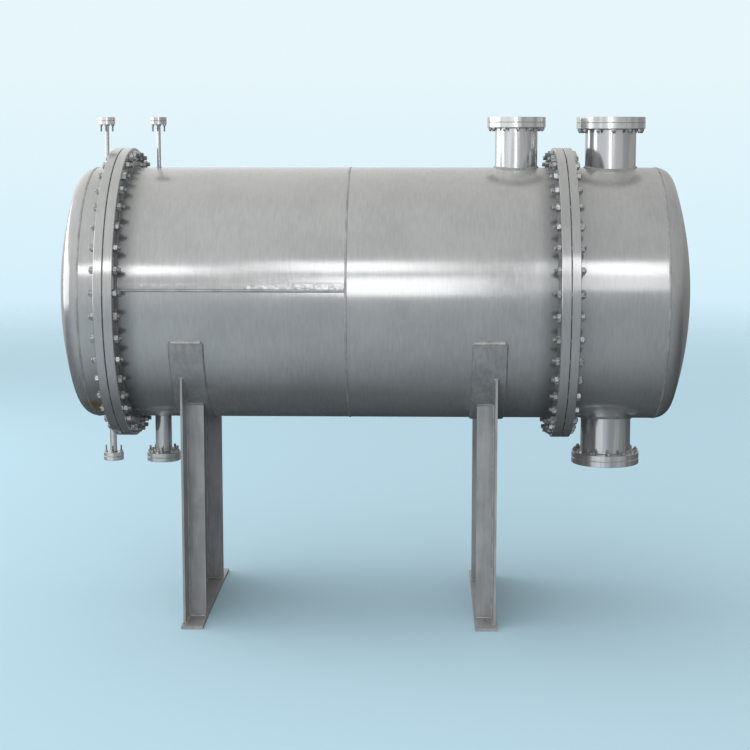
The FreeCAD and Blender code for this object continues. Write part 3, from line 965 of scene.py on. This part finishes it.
def levelRing(height, reach, count):  # a level ring round the middle of the floor
    return ringAt(Vector((0, 0, 0)), Vector((0, 0, 1)), Vector((1, 0, 0)), height, reach, count, 0)


def studioPiece(name, build, material, hiddenFrom):
    mesh = bpy.data.meshes.new(name)
    mesh.from_pydata(build.points, [], build.faces)
    mesh.materials.append(material)
    item = bpy.data.objects.new(name, mesh)
    for light in hiddenFrom:
        setattr(item, "visible_" + light, False)
    bpy.context.scene.collection.objects.link(item)
    return item


floorSet = {
    "reach": 60.0,
    "thick": 0.02,
    "sides": 96,
    "colour": rgb(0.52, 0.74, 0.86),
    "fadeFrom": 5.0,
    "fadeTo": 24.0,
}


def addFloor(settings):
    build = Build()
    reach, sides = settings["reach"], settings["sides"]
    build.loft([levelRing(height, reach, sides) for height in (-settings["thick"], 0)])
    finish = newFinish("floorPaint")
    away = finish.node("VectorMath", {"operation": "LENGTH"}, {0: finish.here()}, output=1)
    matt = finish.node("BsdfDiffuse", None, {"Color": settings["colour"]})
    clear = finish.node("BsdfTransparent")
    fade = finish.ramp(away, settings["fadeFrom"], settings["fadeTo"])
    paint = finish.cover(finish.node("MixShader", None, {0: fade, 1: matt, 2: clear}))
    floor = studioPiece("studio_floor", build, paint, ("glossy", "diffuse"))


backdropSet = {
    "reach": 90.0,
    "rings": 32,
    "sides": 64,
    "stops": [(0.30, (0.40, 0.74, 0.93)), (0.43, (0.60, 0.84, 0.965)), (0.54, (0.80, 0.925, 0.965)),
              (1.0, (0.84, 0.94, 0.97))],    # from straight down at 0 to straight up at 1
}


def addBackdrop(settings):  # a dome that shows behind the vessel and lights nothing
    build = Build()
    rings = []
    for step in range(1, settings["rings"]):
        tilt = math.pi * step / settings["rings"] - math.pi / 2
        reach = settings["reach"]
        rings.append(levelRing(reach * math.sin(tilt), reach * math.cos(tilt), settings["sides"]))
    build.loft(rings)
    finish = newFinish("backdropPaint")
    height = finish.part(finish.here(), "z") * (0.5 / settings["reach"]) + 0.5
    colour = finish.node("ValToRGB", {"stops": settings["stops"]}, {0: height})
    paint = finish.cover(finish.node("Emission", None, {"Color": colour, "Strength": 1.0}))
    dome = studioPiece("studio_backdrop", build, paint, ("diffuse", "glossy", "shadow"))


skySet = {
    "above": rgb(1.0, 0.992, 0.972),
    "frontBelow": rgb(0.55, 0.61, 0.655),
    "backBelow": rgb(0.045, 0.060, 0.066),
    "backFrom": (-0.85, 0.25),    # along Y, between the front and the back
    "aboveFrom": (-0.30, 0.22),
    "leftGain": 1.15,
    "rightGain": 0.56,
    "rightFrom": (-0.25, 0.30),   # along X, between the brighter and the darker side
}


def addSky(settings):  # lights the vessel: bright above, dim below and behind
    world = bpy.data.worlds.new("studio_sky")
    sky = Finish(world)
    way = sky.node("TexCoord")
    back = sky.ramp(sky.part(way, "y"), *settings["backFrom"])
    below = sky.mix(back, settings["frontBelow"], settings["backBelow"])
    colour = sky.mix(sky.ramp(sky.part(way, "z"), *settings["aboveFrom"]), below, settings["above"])
    darker = sky.ramp(sky.part(way, "x"), *settings["rightFrom"])
    gain = settings["leftGain"] + darker * (settings["rightGain"] - settings["leftGain"])
    sky.cover(sky.node("Background", None, {"Color": colour, "Strength": gain}), "OutputWorld")
    bpy.context.scene.world = world


softboxes = {  # name: place, aim point, width and height in metres, watts
    "window_high": {"place": (-0.58, -12.0, 8.25), "aim": (-0.2, 0, 3.6), "size": (2.1, 2.1), "power": 48},
    "window_low": {"place": (-0.15, -12.0, 4.3), "aim": (-0.2, 0, 3.6), "size": (2.1, 3.4), "power": 70},
    "right_high": {"place": (3.0, -12.0, 8.1), "aim": (1.5, 0, 3.6), "size": (1.6, 2.5), "power": 52},
    "right_low": {"place": (3.0, -12.0, 5.2), "aim": (1.5, 0, 3.6), "size": (1.6, 3.2), "power": 30},
    "window_left": {"place": (-3.7, -12.0, 7.4), "aim": (-1.4, 0, 3.6), "size": (2.0, 1.7), "power": 42},
    "side_left": {"place": (-9.5, 2.0, 3.0), "aim": (-1.8, 0, 2.2), "size": (12.0, 4.0), "power": 300},
}


def addSoftbox(name, settings):
    data = bpy.data.lights.new(name, "AREA")
    data.shape = "RECTANGLE"
    data.size, data.size_y = settings["size"]
    data.energy = settings["power"]
    lamp = bpy.data.objects.new(name, data)
    lamp.location = settings["place"]
    away = Vector(settings["aim"]) - Vector(settings["place"])
    lamp.rotation_euler = away.to_track_quat("-Z", "Y").to_euler()
    bpy.context.scene.collection.objects.link(lamp)


addFloor(floorSet)
addBackdrop(backdropSet)
addSky(skySet)
for name, settings in softboxes.items():
    addSoftbox(name, settings)
bpy.context.scene.view_settings.view_transform = "Standard"
print("floor, sky and", len(softboxes), "softboxes placed")
